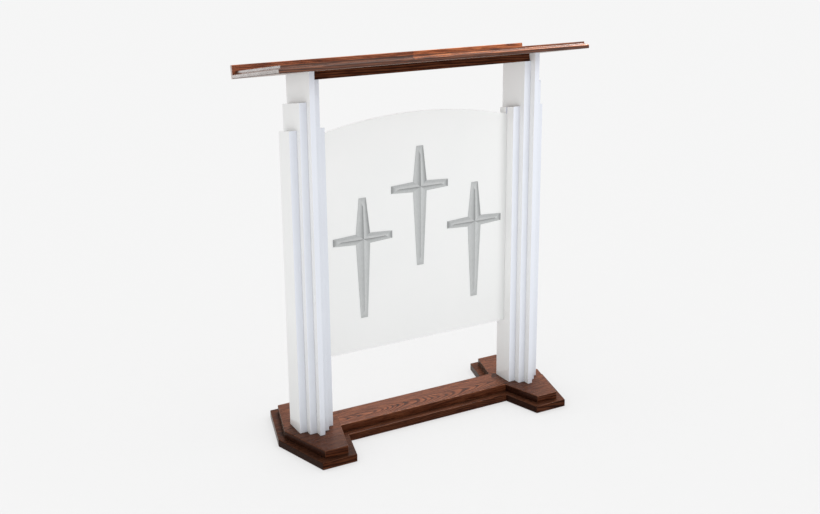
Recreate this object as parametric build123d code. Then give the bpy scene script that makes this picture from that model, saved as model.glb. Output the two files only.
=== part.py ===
from build123d import *
import os
from math import cos, radians, sin, tan

# Lectern pulpit: two laminated acrylic posts on hexagonal oak feet, tied by a two-layer oak
# rail, with an arched acrylic panel and three crosses between them and a sloping oak desk on top.
# Frame: +Z up, -Y towards the congregation, +Y towards the speaker, +X to the right when
# facing the front. The origin is on the floor, midway between the posts.

# --- driving dimensions, mm ---
POST_SPACING = 762
PAD_THICKNESS = 2
LAYER = 23
EDGE_ROUND = 3

# Feet: elongated hexagons, (half length, half width at the ends, half width at the middle).
FOOT_LOWER = (205, 56, 112)
FOOT_UPPER = (183, 38, 91)
RAIL_LOWER_HALF = 78
RAIL_UPPER_HALF = 51

# Post slabs: thickness along X, depth along Y.
CENTRE_SLAB = (17, 167)
SECOND_SLAB = (23, 122)
THIRD_SLAB = (24, 77)
SLAB_EDGE_ROUND = 1.2
SECOND_SLAB_TOP = 1055
THIRD_SLAB_TOP = 977

# Desk: slopes down towards the speaker.
SLOPE = 9.6
DESK_UNDERSIDE = 1140
DESK_WIDTH = 1026
DESK_THICKNESS = 22
DESK_FRONT = -171.5
STOP_THICKNESS = 12
STOP_HEIGHT = 41
OGEE_RADIUS = 5
OGEE_BEAD = 8.5
DESK_ARRIS = 2.5
SUPPORT_THICKNESS = 23
SUPPORT_FRONT = -52
SUPPORT_BACK = 52

# Panel and its grooves.
PANEL_THICKNESS = 6
PANEL_BOTTOM = 260
PANEL_SHOULDER = 956
PANEL_APEX = 995
GROOVE_WIDTH = 6.6
GROOVE_DEPTH = 12

# Crosses: their places on the panel, arm lengths and widths.
CROSS_SPACING = 199
CROSS_OFFSET = 6
SIDE_CROSS_HEIGHT = 621
MIDDLE_CROSS_HEIGHT = 760
CROSS_UP = 128
CROSS_DOWN = 254
CROSS_ARM = 100
CROSS_STEM_WIDTH = 47
CROSS_BAR_WIDTH = 32
CROSS_TIP_WIDTH = 23
CROSS_EDGE = 1.5
CROSS_RIDGE = 5.5

# Fasteners.
HOLE_CLEARANCE = 0.15
SCREW_RADIUS = 2.2
SCREW_HEAD_RADIUS = 4.4
FOOT_SCREW_LENGTH = 38
DESK_SCREW_LENGTH = 36
BOLT_RADIUS = 4
BOLT_HEAD_RADIUS = 6.5
BOLT_HEAD_HEIGHT = 8
BOLT_GRIP = 35
WASHER_RADIUS = 9
WASHER_THICKNESS = 1.6
COUNTERBORE_RADIUS = 10
COUNTERBORE_DEPTH = 11
DOWEL_RADIUS = 5
DOWEL_LENGTH = 50
STOP_DOWEL_RADIUS = 3
STOP_DOWEL_LENGTH = 16
PIN_RADIUS = 4
PIN_LENGTH = 30
PIN_DEPTH_IN_SLAB = 10

# --- derived dimensions ---
POST_X = POST_SPACING / 2
BASE_BOTTOM = PAD_THICKNESS
BASE_MIDDLE = BASE_BOTTOM + LAYER
BASE_TOP = BASE_MIDDLE + LAYER
CENTRE_FACE = CENTRE_SLAB[0] / 2
SECOND_FACE = CENTRE_FACE + SECOND_SLAB[0]
THIRD_FACE = SECOND_FACE + THIRD_SLAB[0]
RISE = tan(radians(SLOPE))
PANEL_SPAN = POST_SPACING - 2 * THIRD_FACE
DESK_BACK = (FOOT_LOWER[0] - STOP_HEIGHT * sin(radians(SLOPE))) / cos(radians(SLOPE)) - STOP_THICKNESS
BOLT_SEAT = BASE_BOTTOM + COUNTERBORE_DEPTH - WASHER_THICKNESS
BOLT_LENGTH = BASE_TOP - BOLT_SEAT + BOLT_GRIP
DESK_FRAME = Location((0, 0, DESK_UNDERSIDE), (-SLOPE, 0, 0))
SIDES = {"left": -1, "right": 1}


def save(name, solids):
    """Writes one node: a single solid, or a group of identical separate solids."""
    shape = solids[0] if len(solids) == 1 else Compound(children=solids)
    shape.label = name
    export_step(shape, f"parts/{name}.step")


def block(x0, x1, y0, y1, z0, z1):
    size = (x1 - x0, y1 - y0, z1 - z0)
    return Pos((x0 + x1) / 2, (y0 + y1) / 2, (z0 + z1) / 2) * Box(*size)


def rod(radius, z0, z1):
    """A plain cylinder on the Z axis."""
    return Pos(0, 0, (z0 + z1) / 2) * Cylinder(radius, z1 - z0)


def hole(radius, z0, z1):
    return rod(radius + HOLE_CLEARANCE, z0, z1)


# --- base ---
def hexagon(foot, x, z0, height):
    half_length, half_end, half_middle = foot
    outline = [
        (x - half_end, -half_length),
        (x + half_end, -half_length),
        (x + half_middle, 0),
        (x + half_end, half_length),
        (x - half_end, half_length),
        (x - half_middle, 0),
    ]
    return Pos(0, 0, z0) * extrude(make_face(Polyline(*outline, close=True)), height)


def base_layer(foot, rail_half_width, z0):
    """Both feet and the rail of one layer as they stand together, rounded in one run of the router."""
    layer = block(-POST_X, POST_X, -rail_half_width, rail_half_width, z0, z0 + LAYER)
    for side in SIDES.values():
        layer += hexagon(foot, side * POST_X, z0, LAYER)
    upright = layer.edges().filter_by(Axis.Z)
    corners = [e for e in upright if abs(e.center().Y) > rail_half_width + 1 or abs(e.center().X) > POST_X]
    layer = fillet(corners, EDGE_ROUND)
    return fillet(layer.faces().sort_by(Axis.Z)[-1].edges(), EDGE_ROUND)


def split_layer(layer, foot, z0):
    """The rail, cut to the hexagons of the feet that it meets, and the feet by side name."""
    rail = layer
    feet = {}
    for name, side in SIDES.items():
        outline = hexagon(foot, side * POST_X, z0 - 1, LAYER + 2)
        feet[name] = layer & outline
        rail -= outline
    return rail, feet


def wood_screw(length):
    """A countersunk screw, point up, with its head's face at z = 0."""
    point = 6
    head_height = SCREW_HEAD_RADIUS - SCREW_RADIUS
    half = [
        (0, 0),
        (SCREW_HEAD_RADIUS, 0),
        (SCREW_RADIUS, head_height),
        (SCREW_RADIUS, length - point),
        (0, length),
    ]
    turned = revolve(Plane.XZ * make_face(Polyline(*half, close=True)), Axis.Z)
    slot = block(-SCREW_HEAD_RADIUS, SCREW_HEAD_RADIUS, -0.6, 0.6, -1, 1)
    return turned - slot


def screw_hole(length):
    """The countersunk pilot hole for a wood screw whose head's face is at z = 0."""
    head_height = SCREW_HEAD_RADIUS - SCREW_RADIUS
    sink = Cone(SCREW_HEAD_RADIUS + HOLE_CLEARANCE, SCREW_RADIUS + HOLE_CLEARANCE, head_height)
    return Pos(0, 0, head_height / 2) * sink + hole(SCREW_RADIUS, 0, length + 1)


def foot_screw_places(x):
    return [(x + dx, dy) for dx in (-26, 26) for dy in (-150, 150)]


def post_bolt_places(x):
    """Two bolts rise into the centre slab and one into each second slab."""
    second_middle = CENTRE_FACE + SECOND_SLAB[0] / 2
    return [(x, -55), (x, 55), (x - second_middle, 0), (x + second_middle, 0)]


def rail_screw_places():
    return [(x, y) for x in (-180, 0, 180) for y in (-30, 30)]


def post_bolt():
    """A socket-headed bolt, head down, with the underside of its head at z = 0."""
    socket = Pos(0, 0, -BOLT_HEAD_HEIGHT + 2) * extrude(RegularPolygon(3.2, 6), -3)
    head = rod(BOLT_HEAD_RADIUS, -BOLT_HEAD_HEIGHT, 0)
    head = chamfer(head.faces().sort_by(Axis.Z)[0].edges(), 0.6)
    return head - socket + rod(BOLT_RADIUS, 0, BOLT_LENGTH)


def washer():
    return rod(WASHER_RADIUS, 0, WASHER_THICKNESS) - rod(BOLT_RADIUS + 0.3, -1, WASHER_THICKNESS + 1)


def dowel(radius, length):
    """A dowel along X, with chamfered ends, centred on the origin."""
    pin = Rot(0, 90, 0) * Cylinder(radius, length)
    return chamfer(pin.edges().filter_by(GeomType.CIRCLE), radius / 4)


def rail_dowel_places():
    """Dowels lie across the joint at the middle of each end of the upper rail."""
    joint = POST_X - FOOT_UPPER[2] + 6
    return [(side * joint, y) for side in SIDES.values() for y in (-18, 18)]


def dowel_hole(radius, length):
    return Rot(0, 90, 0) * Cylinder(radius + HOLE_CLEARANCE, length + 2)


def make_base():
    rail_dowels = [Pos(x, y, BASE_MIDDLE + LAYER / 2) for x, y in rail_dowel_places()]
    lower_layer = base_layer(FOOT_LOWER, RAIL_LOWER_HALF, BASE_BOTTOM)
    upper_layer = base_layer(FOOT_UPPER, RAIL_UPPER_HALF, BASE_MIDDLE)
    rail_lower, feet_lower = split_layer(lower_layer, FOOT_LOWER, BASE_BOTTOM)
    rail_upper, feet_upper = split_layer(upper_layer, FOOT_UPPER, BASE_MIDDLE)
    for x, y in rail_screw_places():
        bore = Pos(x, y, BASE_BOTTOM) * screw_hole(FOOT_SCREW_LENGTH)
        rail_lower -= bore
        rail_upper -= bore
    for place in rail_dowels:
        rail_upper -= place * dowel_hole(DOWEL_RADIUS, DOWEL_LENGTH)
    save("base_rail_lower", [rail_lower])
    save("base_rail_upper", [rail_upper])
    for name, side in SIDES.items():
        x = side * POST_X
        lower = feet_lower[name]
        upper = feet_upper[name]
        for place in foot_screw_places(x):
            bore = Pos(*place, BASE_BOTTOM) * screw_hole(FOOT_SCREW_LENGTH)
            lower -= bore
            upper -= bore
        for place in post_bolt_places(x):
            shank = Pos(*place, 0) * hole(BOLT_RADIUS, 0, BASE_TOP + 1)
            lower -= Pos(*place, BASE_BOTTOM) * rod(COUNTERBORE_RADIUS, -1, COUNTERBORE_DEPTH)
            lower -= shank
            upper -= shank
        for place in rail_dowels:
            upper -= place * dowel_hole(DOWEL_RADIUS, DOWEL_LENGTH)
        save(f"{name}_foot_lower", [lower])
        save(f"{name}_foot_upper", [upper])
    save("rail_dowels", [place * dowel(DOWEL_RADIUS, DOWEL_LENGTH) for place in rail_dowels])


def make_base_fixings():
    foot_places = [p for side in SIDES.values() for p in foot_screw_places(side * POST_X)]
    bolt_places = [p for side in SIDES.values() for p in post_bolt_places(side * POST_X)]
    screw = wood_screw(FOOT_SCREW_LENGTH)
    save("foot_screws", [Pos(*p, BASE_BOTTOM) * screw for p in foot_places])
    save("rail_screws", [Pos(*p, BASE_BOTTOM) * screw for p in rail_screw_places()])
    save("post_bolts", [Pos(*p, BOLT_SEAT) * post_bolt() for p in bolt_places])
    save("post_bolt_washers", [Pos(*p, BOLT_SEAT) * washer() for p in bolt_places])


def make_floor_pads():
    """Felt pads under the ends and the middle corners of each foot."""
    pads = []
    for side in SIDES.values():
        for dx, dy in ((0, -182), (0, 182), (-88, 0), (88, 0)):
            disc = rod(15, 0, PAD_THICKNESS)
            pads.append(Pos(side * POST_X + dx, dy, 0) * chamfer(disc.edges().group_by(Axis.Z)[0], 0.4))
    save("floor_pads", pads)


# --- posts ---
def slab(size, x0, top):
    """An upright slab from the foot to a sloping top, whose height is given at y = 0."""
    thickness, depth = size
    half = depth / 2
    outline = [(-half, BASE_TOP), (half, BASE_TOP), (half, top - half * RISE), (-half, top + half * RISE)]
    profile = Plane.YZ * make_face(Polyline(*outline, close=True))
    solid = Pos(x0, 0, 0) * extrude(profile, thickness)
    upright = solid.edges().filter_by(Axis.Z)
    return fillet(upright, SLAB_EDGE_ROUND)


def make_post(name, side):
    """The five slabs of one post, from its middle outwards on both faces."""
    x = side * POST_X
    support_underside = DESK_UNDERSIDE - SUPPORT_THICKNESS / cos(radians(SLOPE))
    second_tops = {"inner": support_underside, "outer": SECOND_SLAB_TOP}
    slabs = {"centre": slab(CENTRE_SLAB, x - CENTRE_FACE, DESK_UNDERSIDE)}
    for place, toward in (("inner", -side), ("outer", side)):
        second_x = x + (CENTRE_FACE if toward > 0 else -SECOND_FACE)
        third_x = x + (SECOND_FACE if toward > 0 else -THIRD_FACE)
        slabs[f"{place}_second"] = slab(SECOND_SLAB, second_x, second_tops[place])
        slabs[f"{place}_third"] = slab(THIRD_SLAB, third_x, THIRD_SLAB_TOP)
    groove_x = side * PANEL_SPAN / 2
    half_width = GROOVE_WIDTH / 2
    slabs["inner_third"] -= block(
        groove_x - GROOVE_DEPTH, groove_x + GROOVE_DEPTH, -half_width, half_width,
        PANEL_BOTTOM, THIRD_SLAB_TOP + THIRD_SLAB[1],
    )
    for place in post_bolt_places(x):
        bore = Pos(*place, 0) * hole(BOLT_RADIUS, BASE_BOTTOM, BOLT_SEAT + BOLT_LENGTH + 2)
        for key in ("centre", "inner_second", "outer_second"):
            slabs[key] -= bore
    for place in support_pin_places(side):
        slabs["centre"] -= DESK_FRAME * place * dowel_hole(PIN_RADIUS, PIN_LENGTH)
    for key, solid in slabs.items():
        save(f"{name}_post_{key}_slab", [solid])


# --- panel and crosses ---
def make_panel():
    edge = PANEL_SPAN / 2 + GROOVE_DEPTH - 1
    sagitta = PANEL_APEX - PANEL_SHOULDER
    radius = ((PANEL_SPAN / 2) ** 2 + sagitta ** 2) / (2 * sagitta)
    edge_height = PANEL_APEX - radius + (radius ** 2 - edge ** 2) ** 0.5
    arch = ThreePointArc((-edge, edge_height), (0, PANEL_APEX), (edge, edge_height))
    sides = Polyline((-edge, edge_height), (-edge, PANEL_BOTTOM), (edge, PANEL_BOTTOM), (edge, edge_height))
    sheet = extrude(Plane.XZ * make_face([arch, sides]), PANEL_THICKNESS / 2, both=True)
    rims = sheet.faces().filter_by(Axis.Y, reverse=True).sort_by(Axis.Z)
    sheet = fillet(rims[-1].edges().filter_by(GeomType.CIRCLE), 0.8)
    save("arched_panel", [sheet])


def flat_face(*corners):
    return Face(Wire.make_polygon([Vector(*c) for c in corners]))


def roof_arm(length, root_width):
    """One arm along +X: two facets rise to a ridge that falls to the tip, where it is hipped."""
    a, b = root_width / 2, CROSS_TIP_WIDTH / 2
    hip = length - 1.1 * CROSS_TIP_WIDTH
    hip_height = CROSS_RIDGE * (a - (a - b) * hip / length) / a
    root_low, root_high, root_top = (0, -a, 0), (0, a, 0), (0, 0, CROSS_RIDGE)
    tip_low, tip_high, hip_top = (length, -b, 0), (length, b, 0), (hip, 0, hip_height)
    shell = Shell([
        flat_face(root_low, root_high, tip_high, tip_low),
        flat_face(root_low, tip_low, hip_top, root_top),
        flat_face(root_high, root_top, hip_top, tip_high),
        flat_face(tip_low, tip_high, hip_top),
        flat_face(root_low, root_top, root_high),
    ])
    outline = Polyline(root_low[:2], tip_low[:2], tip_high[:2], root_high[:2], close=True)
    plate = extrude(make_face(outline), CROSS_EDGE)
    return plate + Pos(0, 0, CROSS_EDGE) * Solid(shell)


def make_crosses():
    arms = [
        roof_arm(CROSS_ARM, CROSS_BAR_WIDTH),
        Rot(0, 0, 180) * roof_arm(CROSS_ARM, CROSS_BAR_WIDTH),
        Rot(0, 0, 90) * roof_arm(CROSS_UP, CROSS_STEM_WIDTH),
        Rot(0, 0, -90) * roof_arm(CROSS_DOWN, CROSS_STEM_WIDTH),
    ]
    cross = Rot(90, 0, 0) * (arms[0] + arms[1] + arms[2] + arms[3])
    places = {
        "left": (CROSS_OFFSET - CROSS_SPACING, SIDE_CROSS_HEIGHT),
        "middle": (CROSS_OFFSET, MIDDLE_CROSS_HEIGHT),
        "right": (CROSS_OFFSET + CROSS_SPACING, SIDE_CROSS_HEIGHT),
    }
    for name, (x, z) in places.items():
        save(f"cross_{name}", [Pos(x, -PANEL_THICKNESS / 2, z) * cross])


# --- desk, in its own sloping frame: y down the slope, z square to the board ---
def support_pin_places(side):
    x = side * (POST_X - CENTRE_FACE + PIN_DEPTH_IN_SLAB - PIN_LENGTH / 2)
    return [Pos(x, y, -SUPPORT_THICKNESS / 2) for y in (-34, 34)]


def desk_screw_places():
    return [Pos(x, y, -SUPPORT_THICKNESS) for x in (-300, -100, 100, 300) for y in (-30, 30)]


def stop_dowel_places():
    return [Pos(x, DESK_BACK, DESK_THICKNESS / 2) for x in (-440, -220, 0, 220, 440)]


def ogee(edge, inward):
    """Edge outline from the underside up: arris, bead, convex then concave quarter, fillet."""
    r = OGEE_RADIUS
    cove = OGEE_BEAD + r

    def at(inset, height):
        return (edge + inward * inset, height)

    turn = 1 if inward > 0 else -1
    return [
        ThreePointArc(at(DESK_ARRIS, 0), at(0.293 * DESK_ARRIS, 0.293 * DESK_ARRIS), at(0, DESK_ARRIS)),
        Line(at(0, DESK_ARRIS), at(0, OGEE_BEAD)),
        RadiusArc(at(0, OGEE_BEAD), at(r, cove), turn * r),
        RadiusArc(at(r, cove), at(2 * r, cove + r), -turn * r),
        Line(at(2 * r, cove + r), at(2 * r, DESK_THICKNESS)),
    ]


def make_desk_top():
    half = DESK_WIDTH / 2
    inset = 2 * OGEE_RADIUS
    front = ogee(DESK_FRONT, 1) + [Polyline(
        (DESK_FRONT + inset, DESK_THICKNESS), (DESK_BACK, DESK_THICKNESS),
        (DESK_BACK, 0), (DESK_FRONT + DESK_ARRIS, 0),
    )]
    ends = ogee(-half, 1) + ogee(half, -1) + [
        Line((-half + inset, DESK_THICKNESS), (half - inset, DESK_THICKNESS)),
        Line((-half + DESK_ARRIS, 0), (half - DESK_ARRIS, 0)),
    ]
    long_run = extrude(Plane.YZ * make_face(front), half, both=True)
    cross_run = extrude(Plane.XZ * make_face(ends), 2 * DESK_BACK, both=True)
    board = long_run & cross_run
    for place in desk_screw_places():
        board -= place * screw_hole(DESK_SCREW_LENGTH)
    for place in stop_dowel_places():
        board -= place * Rot(0, 0, 90) * dowel_hole(STOP_DOWEL_RADIUS, STOP_DOWEL_LENGTH)
    save("desk_top", [DESK_FRAME * board])


def make_book_stop():
    half = DESK_WIDTH / 2
    stop = block(-half, half, DESK_BACK, DESK_BACK + STOP_THICKNESS, 0, STOP_HEIGHT)
    stop = fillet(stop.edges().filter_by(Axis.X).group_by(Axis.Z)[-1], 2)
    for place in stop_dowel_places():
        stop -= place * Rot(0, 0, 90) * dowel_hole(STOP_DOWEL_RADIUS, STOP_DOWEL_LENGTH)
    save("book_stop", [DESK_FRAME * stop])
    pin = Rot(0, 0, 90) * dowel(STOP_DOWEL_RADIUS, STOP_DOWEL_LENGTH)
    save("book_stop_dowels", [DESK_FRAME * place * pin for place in stop_dowel_places()])


def make_desk_support():
    """The board under the desk, held between the centre slabs of the two posts."""
    half = POST_X - CENTRE_FACE
    board = block(-half, half, SUPPORT_FRONT, SUPPORT_BACK, -SUPPORT_THICKNESS, 0)
    for place in desk_screw_places():
        board -= place * screw_hole(DESK_SCREW_LENGTH)
    for side in SIDES.values():
        for place in support_pin_places(side):
            board -= place * dowel_hole(PIN_RADIUS, PIN_LENGTH)
    save("desk_support_board", [DESK_FRAME * board])
    pins = [p * dowel(PIN_RADIUS, PIN_LENGTH) for side in SIDES.values() for p in support_pin_places(side)]
    save("support_pins", [DESK_FRAME * pin for pin in pins])
    screw = wood_screw(DESK_SCREW_LENGTH)
    save("desk_screws", [DESK_FRAME * place * screw for place in desk_screw_places()])


os.makedirs("parts", exist_ok=True)
make_base()
make_base_fixings()
make_floor_pads()
for side_name, side_sign in SIDES.items():
    make_post(side_name, side_sign)
make_panel()
make_crosses()
make_desk_top()
make_book_stop()
make_desk_support()
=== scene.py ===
import math

import bmesh
import bpy
from mathutils import Matrix, Vector


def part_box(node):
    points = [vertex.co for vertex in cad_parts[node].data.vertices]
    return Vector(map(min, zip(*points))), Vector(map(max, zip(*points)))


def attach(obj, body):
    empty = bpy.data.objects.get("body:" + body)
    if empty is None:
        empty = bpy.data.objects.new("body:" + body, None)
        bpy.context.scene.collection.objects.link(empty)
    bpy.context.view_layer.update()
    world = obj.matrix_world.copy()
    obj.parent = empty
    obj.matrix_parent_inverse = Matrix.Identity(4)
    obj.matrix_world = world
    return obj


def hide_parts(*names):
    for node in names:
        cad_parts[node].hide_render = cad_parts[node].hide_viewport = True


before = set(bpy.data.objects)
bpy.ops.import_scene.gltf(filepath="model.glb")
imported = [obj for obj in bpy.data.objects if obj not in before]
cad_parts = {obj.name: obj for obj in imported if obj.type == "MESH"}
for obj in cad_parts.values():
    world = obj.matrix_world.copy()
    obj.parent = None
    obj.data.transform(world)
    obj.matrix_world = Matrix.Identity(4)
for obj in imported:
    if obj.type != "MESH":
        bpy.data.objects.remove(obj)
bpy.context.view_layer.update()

MM = 0.001
SIDES = ("left", "right")
PLACES = ("left", "middle", "right")
WHITE = (1, 1, 1, 1)
ZERO = (0, 0, 0)


# --- camera ---
# The place is in metres, angles in degrees, lens and sensor in mm, and the shift in widths of the sensor.
CAMERA_PLACE = (-1.6303, -2.9137, 1.6006)
CAMERA_YAW, CAMERA_PITCH, CAMERA_ROLL = 29.137, 15.6614, 0.3668
CAMERA_LENS, CAMERA_SENSOR = 48.9607, 36
CAMERA_SHIFT = (-0.0074, -0.0500)


def make_camera():
    """At a standing person's eye level, in front of the left foot, looking down at the object."""
    data = bpy.data.cameras.new("camera")
    data.sensor_width = CAMERA_SENSOR
    data.lens = CAMERA_LENS
    data.shift_x, data.shift_y = CAMERA_SHIFT
    yaw, pitch, roll = (math.radians(a) for a in (CAMERA_YAW, CAMERA_PITCH, CAMERA_ROLL))
    turn = Matrix.Rotation(-yaw, 4, "Z") @ Matrix.Rotation(math.pi / 2 - pitch, 4, "X")
    turn = turn @ Matrix.Rotation(-roll, 4, "Z")
    camera = bpy.data.objects.new("camera", data)
    camera.matrix_world = Matrix.Translation(CAMERA_PLACE) @ turn
    bpy.context.scene.collection.objects.link(camera)
    bpy.context.scene.camera = camera


# --- studio ---
FLOOR_HALF = 60
FLOOR_TONE = 0.56
SKY_STRENGTH = 0.62
# What the camera sees past the floor's edge: the tone of the floor once it is lit.
WALL_TONE = 0.913


def make_floor():
    data = bpy.data.meshes.new("floor")
    corners = [(x * FLOOR_HALF, y * FLOOR_HALF, 0) for x, y in ((-1, -1), (1, -1), (1, 1), (-1, 1))]
    data.from_pydata(corners, [], [(0, 1, 2, 3)])
    floor = bpy.data.objects.new("floor", data)
    bpy.context.scene.collection.objects.link(floor)
    tree = Tree("studio_floor")
    tone = (FLOOR_TONE, FLOOR_TONE, FLOOR_TONE, 1)
    tree.set({"Base Color": tone, "Roughness": 0.9, "Specular IOR Level": 0.0})
    data.materials.append(tree.material)
    return floor


def make_world():
    """Even light from all round, and a plain wall that only the camera sees."""
    world = bpy.data.worlds.new("studio")
    world.use_nodes = True
    nodes, links = world.node_tree.nodes, world.node_tree.links
    light = nodes["Background"]
    light.inputs["Color"].default_value = WHITE
    light.inputs["Strength"].default_value = SKY_STRENGTH
    shown = nodes.new("ShaderNodeBackground")
    shown.inputs["Color"].default_value = (WALL_TONE, WALL_TONE, WALL_TONE, 1)
    mixed = nodes.new("ShaderNodeMixShader")
    rays = nodes.new("ShaderNodeLightPath")
    links.new(rays.outputs["Is Camera Ray"], mixed.inputs[0])
    links.new(light.outputs[0], mixed.inputs[1])
    links.new(shown.outputs[0], mixed.inputs[2])
    links.new(mixed.outputs[0], nodes["World Output"].inputs["Surface"])
    bpy.context.scene.world = world


def group(name, members):
    """A set of objects that a lamp lights, or that cast shadows in its light."""
    collection = bpy.data.collections.new(name)
    for member in members:
        collection.objects.link(member)
    return collection


def place_lamp(data, toward, at, lights, shaded_by=None):
    """Places a lamp that lights one group of objects. toward points from what it lights to the lamp."""
    lamp = bpy.data.objects.new(data.name, data)
    lamp.location = at
    lamp.rotation_euler = toward.to_track_quat("Z", "Y").to_euler()
    bpy.context.scene.collection.objects.link(lamp)
    lamp.light_linking.receiver_collection = lights
    if shaded_by:
        lamp.light_linking.blocker_collection = shaded_by


def broad_light(name, azimuth, elevation, spread, strength, lights, shaded_by=None):
    """A far, wide light, with its angles in degrees. Azimuth 0 is in front, at -Y, and 90 is at +X."""
    data = bpy.data.lights.new(name, "SUN")
    data.angle = math.radians(spread)
    data.energy = strength
    around, up = math.radians(azimuth), math.radians(elevation)
    level = math.cos(up)
    toward = Vector((math.sin(around) * level, -math.cos(around) * level, math.sin(up)))
    place_lamp(data, toward, ZERO, lights, shaded_by)


def softbox(name, at, aim, size, power, lights):
    """A rectangular lamp of the given width and height, in metres, facing the point aim."""
    data = bpy.data.lights.new(name, "AREA")
    data.shape = "RECTANGLE"
    data.size, data.size_y = size
    data.energy = power
    place_lamp(data, Vector(at) - Vector(aim), at, lights)


# --- materials ---
# Where most of a noise's values lie.
NOISE_RANGE = (0.3, 0.7)


class Tree:
    """A material's nodes. Inputs are given by socket name, as a value or as another node's output."""

    def __init__(self, name):
        self.material = bpy.data.materials.new(name)
        self.material.use_nodes = True
        self.nodes = self.material.node_tree.nodes
        self.links = self.material.node_tree.links
        self.shader = self.nodes["Principled BSDF"]

    def set(self, inputs, node=None):
        sockets = (node or self.shader).inputs
        for key, value in inputs.items():
            if isinstance(value, bpy.types.NodeSocket):
                self.links.new(value, sockets[key])
            else:
                sockets[key].default_value = value

    def add(self, kind, inputs, output=0, **settings):
        node = self.nodes.new("ShaderNode" + kind)
        for key, value in settings.items():
            setattr(node, key, value)
        self.set(inputs, node)
        return node.outputs[output]

    def math(self, operation, *values):
        return self.add("Math", dict(enumerate(values)), operation=operation)

    def mix(self, share, a, b, blend="MIX"):
        """Two colours mixed. The Mix node's sockets 6, 7 and 2 are its two colours and its result."""
        return self.add("Mix", {0: share, 6: a, 7: b}, output=2, data_type="RGBA", blend_type=blend)

    def scaled(self, vector, scale, shift=ZERO):
        return self.add("Mapping", {"Vector": vector, "Location": shift, "Scale": scale})

    def noise(self, vector, scale, detail=3.0, roughness=0.5):
        inputs = {"Vector": vector, "Scale": scale, "Detail": detail, "Roughness": roughness}
        return self.add("TexNoise", inputs)

    def drawn_noise(self, vector, scale, shift=ZERO, detail=3.0, roughness=0.5):
        """Noise with a scale for each axis, which draws it out along the one with the lowest."""
        return self.noise(self.scaled(vector, scale, shift), 1.0, detail, roughness)

    def spread(self, value, low, high, to_low=0.0, to_high=1.0):
        """Takes values from low to high onto to_low to to_high, and holds the ends."""
        inputs = {0: value, 1: low, 2: high, 3: to_low, 4: to_high}
        return self.add("MapRange", inputs, clamp=True)

    def vary(self, noise, low, high):
        """A number that follows a noise."""
        return self.spread(noise, *NOISE_RANGE, low, high)

    def tint(self, noise, low, high):
        """A colour that follows a noise."""
        return self.ramp(noise, list(zip(NOISE_RANGE, (low, high))))

    def ramp(self, value, stops):
        """A colour ramp with the given pairs of position and colour."""
        node = self.nodes.new("ShaderNodeValToRGB")
        elements = node.color_ramp.elements
        while len(elements) < len(stops):
            elements.new(0.5)
        for element, (position, colour) in zip(elements, stops):
            element.position = position
            element.color = (*colour, 1)
        self.set({"Fac": value}, node)
        return node.outputs["Color"]

    def bump(self, height, distance, strength):
        return self.add("Bump", {"Height": height, "Distance": distance, "Strength": strength})

    def split(self, vector):
        node = self.nodes.new("ShaderNodeSeparateXYZ")
        self.set({0: vector}, node)
        return list(node.outputs)

    def coordinates(self, kind="Object"):
        return self.add("TexCoord", {}, output=kind)


# The stain's colours, from its palest grain to its darkest, with where each lies on the ramp.
STAIN = (
    (0.0, (0.205, 0.075, 0.034)),
    (0.3, (0.135, 0.040, 0.017)),
    (0.6, (0.045, 0.010, 0.004)),
    (1.0, (0.010, 0.002, 0.001)),
)
CLOUDED = (0.06, 0.015, 0.006)
STAINED_END = (0.012, 0.003, 0.002)
# Rounded edges: real rubbed stain, and also a painted highlight.
RUBBED_AND_HIGHLIGHT = (0.30, 0.13, 0.07)
PORE = (0.008, 0.003, 0.002, 1)
# How much brighter a paler length is, in red, green and blue: a real paler board tone on the stop, and
# painted reflection on the desk's front moulding.
PALER_TONE_AND_REFLECTION = (3.1, 3.1, 2.4, 1)
# How far each place in a growth ring is early wood, which is porous, drinks more stain and is darker.
EARLY_WOOD = ((0.0, 1.0), (0.25, 0.9), (0.42, 0.12), (0.92, 0.0), (1.0, 1.0))
PLAIN_GLOSS = (1.0, 0.5, 0.35)


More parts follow.
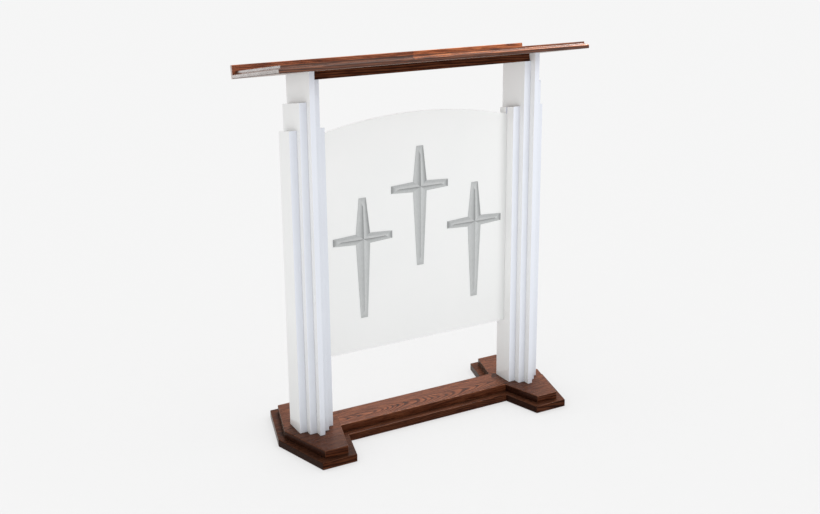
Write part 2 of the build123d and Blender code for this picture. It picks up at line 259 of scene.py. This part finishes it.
def stained_oak(
    name, turn, pith, seed, ior, tone=1.0, tilt=0.02, gloss=PLAIN_GLOSS, ring=3.0, sway=35, worn_and_highlight=0.4,
    pale_tone_and_reflection=None,
):
    """Flat-sawn oak under a dark stain and a satin lacquer. End grain drinks more stain and is darker.

    turn takes the object's frame to the board's own: x along the grain, z square to the board's face.
    pith is where the log's centre line lies in that frame, in metres, and tilt its slope to the face.
    seed gives the board grain of its own. tone scales the stain's brightness, and gloss tints the shine.
    ring and sway are the width of a growth ring and how far the grain wanders, in mm.
    worn is how far rounded edges are made lighter, as real rubbed stain and also as a painted highlight.
    pale is a lighter length, used both for a real paler board tone and for painted reflection: where it
    starts in the board's frame, and how strong it is."""
    tree = Tree(name)
    board = tree.add("Mapping", {"Vector": tree.coordinates(), "Rotation": turn})
    drift = tree.scaled(board, (2.5, 9, 9), (seed, seed, seed))
    wander = tree.add("TexNoise", {"Vector": drift, "Scale": 1.0, "Detail": 2.0}, output="Color")
    wander = tree.add("VectorMath", {0: wander, 1: (0.5, 0.5, 0.5)}, operation="SUBTRACT")
    wander = tree.add("VectorMath", {0: wander, 1: (0, sway * MM, sway * MM)}, operation="MULTIPLY")
    bent = tree.add("VectorMath", {0: board, 1: wander}, operation="ADD")

    # Growth rings round the pith.
    along, across, through = tree.split(bent)
    rise = tree.math("MULTIPLY", along, tilt)
    depth = tree.math("SUBTRACT", tree.math("ADD", through, rise), pith[1])
    side = tree.math("SUBTRACT", across, pith[0])
    squares = tree.math("ADD", tree.math("MULTIPLY", side, side), tree.math("MULTIPLY", depth, depth))
    growth = tree.math("FRACT", tree.math("MULTIPLY", tree.math("SQRT", squares), 1 / (ring * MM)))
    early = tree.ramp(growth, [(position, (level, level, level)) for position, level in EARLY_WOOD])

    # Fibres, open pores, cloudy figure and dark streaks, all drawn out along the grain.
    fibre = tree.drawn_noise(board, (22, 900, 900), detail=4.0, roughness=0.6)
    pores = tree.drawn_noise(board, (70, 2200, 2200), (seed, 0, 0), detail=1.0)
    pores = tree.spread(pores, 0.56, 0.68)
    pores = tree.math("MULTIPLY", pores, tree.spread(early, 0.0, 1.0, 0.25, 1.0))
    figure = tree.noise(drift, 3.0, roughness=0.6)
    streaks = tree.drawn_noise(bent, (14, 230, 230), (0, seed, 0), roughness=0.65)
    streaks = tree.spread(streaks, 0.42, 0.68, 0.0, 0.5)

    def shade(colour):
        return tuple(tone * c for c in colour)

    grain = tree.math("ADD", tree.math("MULTIPLY", early, 0.5), tree.vary(fibre, 0.0, 0.25))
    grain = tree.math("ADD", grain, streaks)
    colour = tree.ramp(grain, [(position, shade(stain)) for position, stain in STAIN])
    colour = tree.mix(tree.spread(figure, 0.35, 0.7, 0.0, 0.4), colour, (*shade(CLOUDED), 1))
    colour = tree.mix(tree.math("MULTIPLY", pores, 0.6), colour, PORE)

    # End grain faces along X. A face square to no axis is a rounded edge or a moulding.
    faces = [tree.math("ABSOLUTE", part) for part in tree.split(tree.coordinates("Normal"))]
    end_grain = tree.spread(faces[0], 0.5, 0.9)
    colour = tree.mix(tree.math("MULTIPLY", end_grain, 0.75), colour, (*shade(STAINED_END), 1))
    # Rounded edges and mouldings are made lighter: real rubbed stain, and also a painted highlight along
    # them.
    squareness = tree.math("MAXIMUM", tree.math("MAXIMUM", faces[0], faces[1]), faces[2])
    wear_and_highlight = tree.spread(figure, 0.35, 0.6, worn_and_highlight / 4, worn_and_highlight)
    rubbed_and_highlight = tree.math("MULTIPLY", tree.spread(squareness, 0.94, 0.76), wear_and_highlight)
    colour = tree.mix(rubbed_and_highlight, colour, (*shade(RUBBED_AND_HIGHLIGHT), 1))
    # A lighter length: a real paler board tone on the stop, painted reflection on the desk's front
    # moulding.
    if pale_tone_and_reflection:
        straight = tree.split(board)
        past = tree.math("GREATER_THAN", straight[0], pale_tone_and_reflection["x"])
        past = tree.math("MULTIPLY", past, tree.math("LESS_THAN", straight[1], pale_tone_and_reflection["y"]))
        past = tree.math("MULTIPLY", past, tree.math("GREATER_THAN", straight[2], pale_tone_and_reflection["z"]))
        lighter = tree.mix(1.0, colour, PALER_TONE_AND_REFLECTION, "MULTIPLY")
        colour = tree.mix(tree.math("MULTIPLY", past, pale_tone_and_reflection["share"]), colour, lighter)

    # The fibres stand proud and the pores sink, but not on end grain.
    height = tree.math("SUBTRACT", tree.math("MULTIPLY", fibre, 0.25), pores)
    height = tree.math("MULTIPLY", height, tree.spread(faces[0], 0.1, 0.3, 1.0, 0.0))
    tree.set({
        "Base Color": colour,
        "Roughness": tree.vary(figure, 0.22, 0.32),
        "Normal": tree.bump(height, distance=0.06 * MM, strength=0.3),
        "IOR": ior,
        "Specular Tint": (*gloss, 1),
        "Sheen Weight": 0.12,
        "Sheen Roughness": 0.4,
        "Sheen Tint": (1.0, 0.7, 0.5, 1),
    })
    return tree.material


ACRYLIC_IOR = 1.49
LOW_PAINTED_SHADE = (0.25, 0.24, 0.23, 1)


def opal_acrylic(name):
    """White sheet. Its faces, square to X, are neutral, and its polished edges, square to Y, carry a
    painted bluish, slightly darker tint that stands in for a bluish light from the front.

    The lowest 0.4 m has painted shade that makes it a little greyer, most of all on the faces."""
    tree = Tree(name)
    point = tree.coordinates()
    cloud = tree.noise(point, 6.0)
    haze = tree.noise(point, 45.0, roughness=0.6)
    facing = tree.split(tree.coordinates("Normal"))
    # Painted light: faces square to Y get a bluish, slightly darker tint.
    edge = tree.spread(tree.math("ABSOLUTE", facing[1]), 0.5, 0.9)
    face_colour = tree.tint(cloud, (0.86, 0.865, 0.86), (0.88, 0.885, 0.88))
    painted_edge_tint = tree.tint(cloud, (0.775, 0.805, 0.875), (0.795, 0.825, 0.89))
    # Painted shade, darker towards the bottom, faint on the edges.
    painted_low_shade = tree.spread(tree.split(point)[2], 0.03, 0.42, 0.24, 0.0)
    face_colour = tree.mix(painted_low_shade, face_colour, LOW_PAINTED_SHADE)
    painted_edge_tint = tree.mix(tree.math("MULTIPLY", painted_low_shade, 0.2), painted_edge_tint, LOW_PAINTED_SHADE)
    tree.set({
        "Base Color": tree.mix(edge, face_colour, painted_edge_tint),
        "Roughness": tree.vary(haze, 0.10, 0.16),
        "Normal": tree.bump(haze, distance=0.03 * MM, strength=0.15),
        "IOR": ACRYLIC_IOR,
    })
    return tree.material


def frosted_acrylic(name):
    """White sheet with a fine even frost."""
    tree = Tree(name)
    point = tree.coordinates()
    cloud = tree.noise(point, 5.0)
    frost = tree.noise(point, 2500.0, detail=2.0)
    colour = tree.tint(cloud, (0.93, 0.94, 0.935), (0.95, 0.955, 0.95))
    tree.set({
        "Base Color": colour,
        "Roughness": tree.vary(cloud, 0.5, 0.6),
        "Normal": tree.bump(frost, distance=0.02 * MM, strength=0.4),
        "IOR": ACRYLIC_IOR,
    })
    return tree.material


def grey_acrylic(name):
    """Brushed grey acrylic, for the CAD crosses."""
    tree = Tree(name)
    point = tree.coordinates()
    cloud = tree.noise(point, 12.0)
    brush = tree.drawn_noise(point, (900, 900, 40))
    colour = tree.tint(cloud, (0.33, 0.35, 0.35), (0.38, 0.40, 0.40))
    tree.set({
        "Base Color": colour,
        "Roughness": tree.vary(brush, 0.22, 0.36),
        "Normal": tree.bump(brush, distance=0.02 * MM, strength=0.4),
        "IOR": ACRYLIC_IOR,
    })
    return tree.material


def steel(name):
    tree = Tree(name)
    point = tree.coordinates()
    grit = tree.noise(point, 700.0)
    tree.set({
        "Base Color": tree.tint(grit, (0.42, 0.42, 0.43), (0.56, 0.56, 0.57)),
        "Metallic": 1.0,
        "Roughness": tree.vary(grit, 0.28, 0.42),
        "Normal": tree.bump(grit, distance=0.02 * MM, strength=0.4),
    })
    return tree.material


def beech(name):
    tree = Tree(name)
    point = tree.coordinates()
    fibre = tree.drawn_noise(point, (90, 1400, 1400))
    tree.set({
        "Base Color": tree.tint(fibre, (0.46, 0.29, 0.16), (0.62, 0.43, 0.26)),
        "Roughness": tree.vary(fibre, 0.5, 0.65),
        "Normal": tree.bump(fibre, distance=0.05 * MM, strength=0.5),
    })
    return tree.material


def felt(name):
    tree = Tree(name)
    point = tree.coordinates()
    fuzz = tree.noise(point, 1800.0, detail=4.0, roughness=0.7)
    tree.set({
        "Base Color": tree.tint(fuzz, (0.045, 0.03, 0.022), (0.11, 0.075, 0.055)),
        "Roughness": tree.vary(fuzz, 0.85, 1.0),
        "Normal": tree.bump(fuzz, distance=0.3 * MM, strength=0.8),
    })
    return tree.material


def grey_facets(name):
    """Satin grey acrylic. A value stored at each corner paints light and shade: it darkens the hollows
    beside each ridge and rim, and makes facets lighter or darker by the way they face.
    """
    tree = Tree(name)
    point = tree.coordinates()
    cloud = tree.noise(point, 12.0)
    polish = tree.drawn_noise(point, (500, 500, 60))
    # Painted light and shade, stored on the mesh's corners.
    hollow = tree.add("Attribute", {}, output="Fac", attribute_name="painted_facet_shading")
    light = tree.tint(cloud, (0.56, 0.575, 0.575), (0.60, 0.615, 0.615))
    tree.set({
        "Base Color": tree.mix(hollow, (0.14, 0.147, 0.15, 1), light),
        "Roughness": tree.vary(polish, 0.22, 0.36),
        "Normal": tree.bump(polish, distance=0.01 * MM, strength=0.3),
        "IOR": ACRYLIC_IOR,
    })
    return tree.material


# --- crosses ---
# A cross's reach from its centre, and the half widths of its arms where they meet and at their ends.
CROSS_UP = 128 * MM
CROSS_DOWN = 254 * MM
CROSS_ARM = 100 * MM
STEM_HALF = 23.5 * MM
BAR_HALF = 16 * MM
TIP_HALF = 11.5 * MM
# Heights above the panel. Each ridge falls from the centre to its hip, which is set in from the arm's end.
RIM = 1.5 * MM
RIDGE = 7 * MM
HIP_DROP = 2 * MM
HIP_INSET = 2.2 * TIP_HALF
# How deep a facet is hollowed. At 0 it would still rise as a square, and it dips more the higher this is.
HOLLOW_SAG = 0.35
# Painted shade: how much darker a full hollow is painted, the share of that for a faint one, and how fast
# it clears from a rim.
HOLLOW_SHADE = 0.7
FAINT_PAINTED_SHADE = 0.3
RIM_FADE = 1.6
# Painted light: the lightest painted tones of facets that face up, left and down. Right ones and ends
# reach 1.
UPPER_PAINTED_LIGHT, LEFT_PAINTED_LIGHT, LOWER_PAINTED_LIGHT = 0.82, 0.99, 0.88
FACET_ROWS, FACET_COLUMNS = 10, 14
CREASE = math.radians(14)
WELD = 0.01 * MM


def hollow_height(u, ridge):
    """Height of a hollow-ground facet, from its rim at u = 0 to its ridge at u = 1."""
    return RIM + (ridge - RIM) * ((1 + HOLLOW_SAG) * u * u - HOLLOW_SAG * u)


def cross_patches():
    """Each facet's rim ends, ridge ends, ridge heights, the way it faces and how strong the painted shade
    in its hollow is.

    Points are in the cross's own plane, x to the right and y up. Facets at the arms' ends face no way."""
    arms = [
        (Vector((1, 0)), Vector((0, 1)), CROSS_ARM),
        (Vector((-1, 0)), Vector((0, 1)), CROSS_ARM),
        (Vector((0, 1)), Vector((1, 0)), CROSS_UP),
        (Vector((0, -1)), Vector((1, 0)), CROSS_DOWN),
    ]
    patches = []
    for along, across, length in arms:
        hip = along * (length - HIP_INSET)
        hip_height = RIDGE - HIP_DROP
        tips = {}
        for side in (-1, 1):
            tips[side] = along * length + across * side * TIP_HALF
            root = along * STEM_HALF + across * side * BAR_HALF
            if along.y:
                root = along * BAR_HALF + across * side * STEM_HALF
            # How strong the painted shade in the hollows is: faint on the lower arm's sides and on the
            # upright arms' ends.
            hollow = FAINT_PAINTED_SHADE if along.y < 0 else 1.0
            facing = across * side
            patches.append((root, tips[side], Vector((0, 0)), hip, RIDGE, hip_height, facing, hollow))
        hollow = FAINT_PAINTED_SHADE if along.y else 1.0
        patches.append((tips[-1], tips[1], hip, hip, hip_height, hip_height, None, hollow))
    return patches


def painted_facet_shading(facing, hollow, u):
    """Painted light and shade on a facet: goes to 1 where the facet is painted lightest.

    Left and lower facets get painted shade towards the ridge, right ones and ends towards the rim."""
    if facing is None or facing.x > 0:
        return 1 - HOLLOW_SHADE * hollow * max(0.0, 1 - RIM_FADE * u)
    if facing.y > 0:
        return UPPER_PAINTED_LIGHT
    return (LEFT_PAINTED_LIGHT if facing.x < 0 else LOWER_PAINTED_LIGHT) - HOLLOW_SHADE * hollow * u ** 3


def make_cross(name):
    """A closed mesh of hollow-ground facets, which stands where the CAD cross of this name does."""
    low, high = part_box(name)
    centre = Vector(((low.x + high.x) / 2, high.y, high.z - CROSS_UP))
    build = bmesh.new()
    # Each corner carries painted light and shade for the material.
    layer = build.loops.layers.float.new("painted_facet_shading")
    for rim_a, rim_b, top_a, top_b, height_a, height_b, facing, hollow in cross_patches():
        grid = []
        for i in range(FACET_ROWS + 1):
            u = i / FACET_ROWS
            line = []
            for j in range(FACET_COLUMNS + 1):
                v = j / FACET_COLUMNS
                flat = rim_a.lerp(rim_b, v).lerp(top_a.lerp(top_b, v), u)
                height = hollow_height(u, height_a + (height_b - height_a) * v)
                line.append(build.verts.new(centre + Vector((flat.x, -height, flat.y))))
            grid.append(line)
        for i in range(FACET_ROWS):
            for j in range(FACET_COLUMNS):
                ring = [(i, j), (i, j + 1), (i + 1, j + 1), (i + 1, j)]
                face = build.faces.new([grid[a][b] for a, b in ring])
                for loop, (a, _) in zip(face.loops, ring):
                    loop[layer] = painted_facet_shading(facing, hollow, a / FACET_ROWS)
    bmesh.ops.remove_doubles(build, verts=build.verts, dist=WELD)
    rim = [edge for edge in build.edges if edge.is_boundary]
    walls = bmesh.ops.extrude_edge_only(build, edges=rim)["geom"]
    for vert in walls:
        if isinstance(vert, bmesh.types.BMVert):
            vert.co.y = centre.y
    back = [edge for edge in walls if isinstance(edge, bmesh.types.BMEdge)]
    bmesh.ops.holes_fill(build, edges=back, sides=0)
    bmesh.ops.recalc_face_normals(build, faces=build.faces)
    data = bpy.data.meshes.new(name + "_facets")
    build.to_mesh(data)
    build.free()
    for polygon in data.polygons:
        polygon.use_smooth = True
    data.set_sharp_from_angle(angle=CREASE)
    piece = bpy.data.objects.new(name + "_facets", data)
    bpy.context.scene.collection.objects.link(piece)
    return piece


def make_crosses():
    material = grey_facets("grey_facets")
    pieces = []
    for place in PLACES:
        piece = make_cross(f"cross_{place}")
        piece.data.materials.append(material)
        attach(piece, "root")
        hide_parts(f"cross_{place}")
        pieces.append(piece)
    return pieces


# --- finishes ---
ALONG_X = ZERO
DESK_TURN = (math.radians(9.6), 0, 0)
BOARD_POLISH = (1.0, 0.9, 0.83)
STOP_POLISH = (1.0, 0.8, 0.7)
# Paler past x, ahead of y and above z: the whole stop past x, a real change of board tone, but only the
# front moulding of the desk, where the paler length is painted reflection.
STOP_SPLICE = {"x": 95 * MM, "y": 1.0, "z": 0.0, "share": 0.28}
MOULDING_PAINTED_REFLECTION = {"x": -100 * MM, "y": -345 * MM, "z": 1132.5 * MM, "share": 0.9}


def dress(node, material):
    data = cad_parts[node].data
    data.materials.clear()
    data.materials.append(material)


def dress_all():
    dress("base_rail_lower", stained_oak(
        "oak_rail_lower", ALONG_X, pith=(0.02, -0.06), seed=1.0, ior=1.16, tone=0.6))
    dress("base_rail_upper", stained_oak(
        "oak_rail_upper", ALONG_X, pith=(-0.01, -0.02), seed=2.0, ior=1.24, tone=1.1, tilt=0.07, ring=2.3))
    for index, side in enumerate(SIDES):
        for layer, tone, ior in (("lower", 0.55, 1.14), ("upper", 0.9, 1.22)):
            dress(f"{side}_foot_{layer}", stained_oak(
                f"oak_{side}_foot_{layer}", ALONG_X, pith=(0.03, -0.05), seed=3.0 + index,
                ior=ior, tone=tone, tilt=0.03))
    dress("desk_top", stained_oak(
        "oak_desk_top", DESK_TURN, pith=(0.05, 0.9), seed=6.0, ior=1.5, tone=0.9,
        gloss=BOARD_POLISH, sway=12, worn_and_highlight=0.05, pale_tone_and_reflection=MOULDING_PAINTED_REFLECTION))
    dress("book_stop", stained_oak(
        "oak_book_stop", DESK_TURN, pith=(0.15, 1.0), seed=7.0, ior=1.38, tone=2.5,
        gloss=STOP_POLISH, sway=12, pale_tone_and_reflection=STOP_SPLICE))
    dress("desk_support_board", stained_oak(
        "oak_support", DESK_TURN, pith=(0.02, 1.0), seed=8.0, ior=1.2, sway=12))
    shared = {
        "white": opal_acrylic("opal_acrylic"),
        "grey": grey_acrylic("grey_acrylic"),
        "steel": steel("bright_steel"),
        "beech": beech("beech"),
    }
    for side in SIDES:
        for slab in ("centre", "inner_second", "inner_third", "outer_second", "outer_third"):
            dress(f"{side}_post_{slab}_slab", shared["white"])
    dress("arched_panel", frosted_acrylic("frosted_acrylic"))
    for place in PLACES:
        dress(f"cross_{place}", shared["grey"])
    for node in ("foot_screws", "rail_screws", "post_bolts", "post_bolt_washers", "desk_screws"):
        dress(node, shared["steel"])
    for node in ("rail_dowels", "support_pins", "book_stop_dowels"):
        dress(node, shared["beech"])
    dress("floor_pads", felt("brown_felt"))


def light_all(floor, crosses):
    """Plain studio light. Floor, panel, posts, base and desk each have lamps of their own as well."""

    def gather(name, belongs):
        return group(name, [node for key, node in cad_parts.items() if belongs(key)])

    ground = group("ground", [floor])
    desk = gather("desk", lambda key: key in ("desk_top", "book_stop"))
    panel = gather("panel", lambda key: key == "arched_panel")
    posts = gather("posts", lambda key: "_post_" in key)
    right_post = gather("right_post", lambda key: key.startswith("right_post"))
    base = gather("base", lambda key: "foot" in key or "rail" in key)
    below_desk = gather("below_desk", lambda key: key not in ("desk_top", "book_stop"))
    for cross in crosses:
        below_desk.objects.link(cross)

    broad_light("floor_wash", 0, 90, spread=60, strength=3.2, lights=ground, shaded_by=ground)
    broad_light("panel_top", 180, 78, spread=40, strength=1.7, lights=panel, shaded_by=panel)
    for name, at, aim, size, power, lights in (
        ("overhead", (1.2, 1.3, 2.8), (0, 0, 0.4), (2.4, 1.8), 215, base),
        ("front_right", (1.5, -2.3, 2.5), (0, 0, 0.7), (1.4, 1.4), 27, below_desk),
        ("post_fill", (-3.0, -1.4, 1.3), (0, 0, 0.8), (1.6, 1.6), 18, posts),
        ("right_post_fill", (-1.2, -2.4, 0.9), (0.4, 0, 0.6), (1.4, 1.4), 7, right_post),
        ("desk_left_back", (-1.9, 3.8, 1.2), (-0.5, 0, 1.1), (1.6, 1.6), 24, desk),
        ("desk_right_high", (2.6, -0.3, 3.4), (0.45, -0.17, 1.17), (0.8, 0.8), 110, desk),
    ):
        softbox(name, at, aim, size, power, lights)
    broad_light("desk_sky", 180, 70, spread=120, strength=2.2, lights=desk)
    broad_light("desk_front", 12, 30, spread=100, strength=0.7, lights=desk)


make_camera()
make_world()
floor = make_floor()
dress_all()
light_all(floor, make_crosses())
bpy.context.scene.view_settings.view_transform = "Standard"
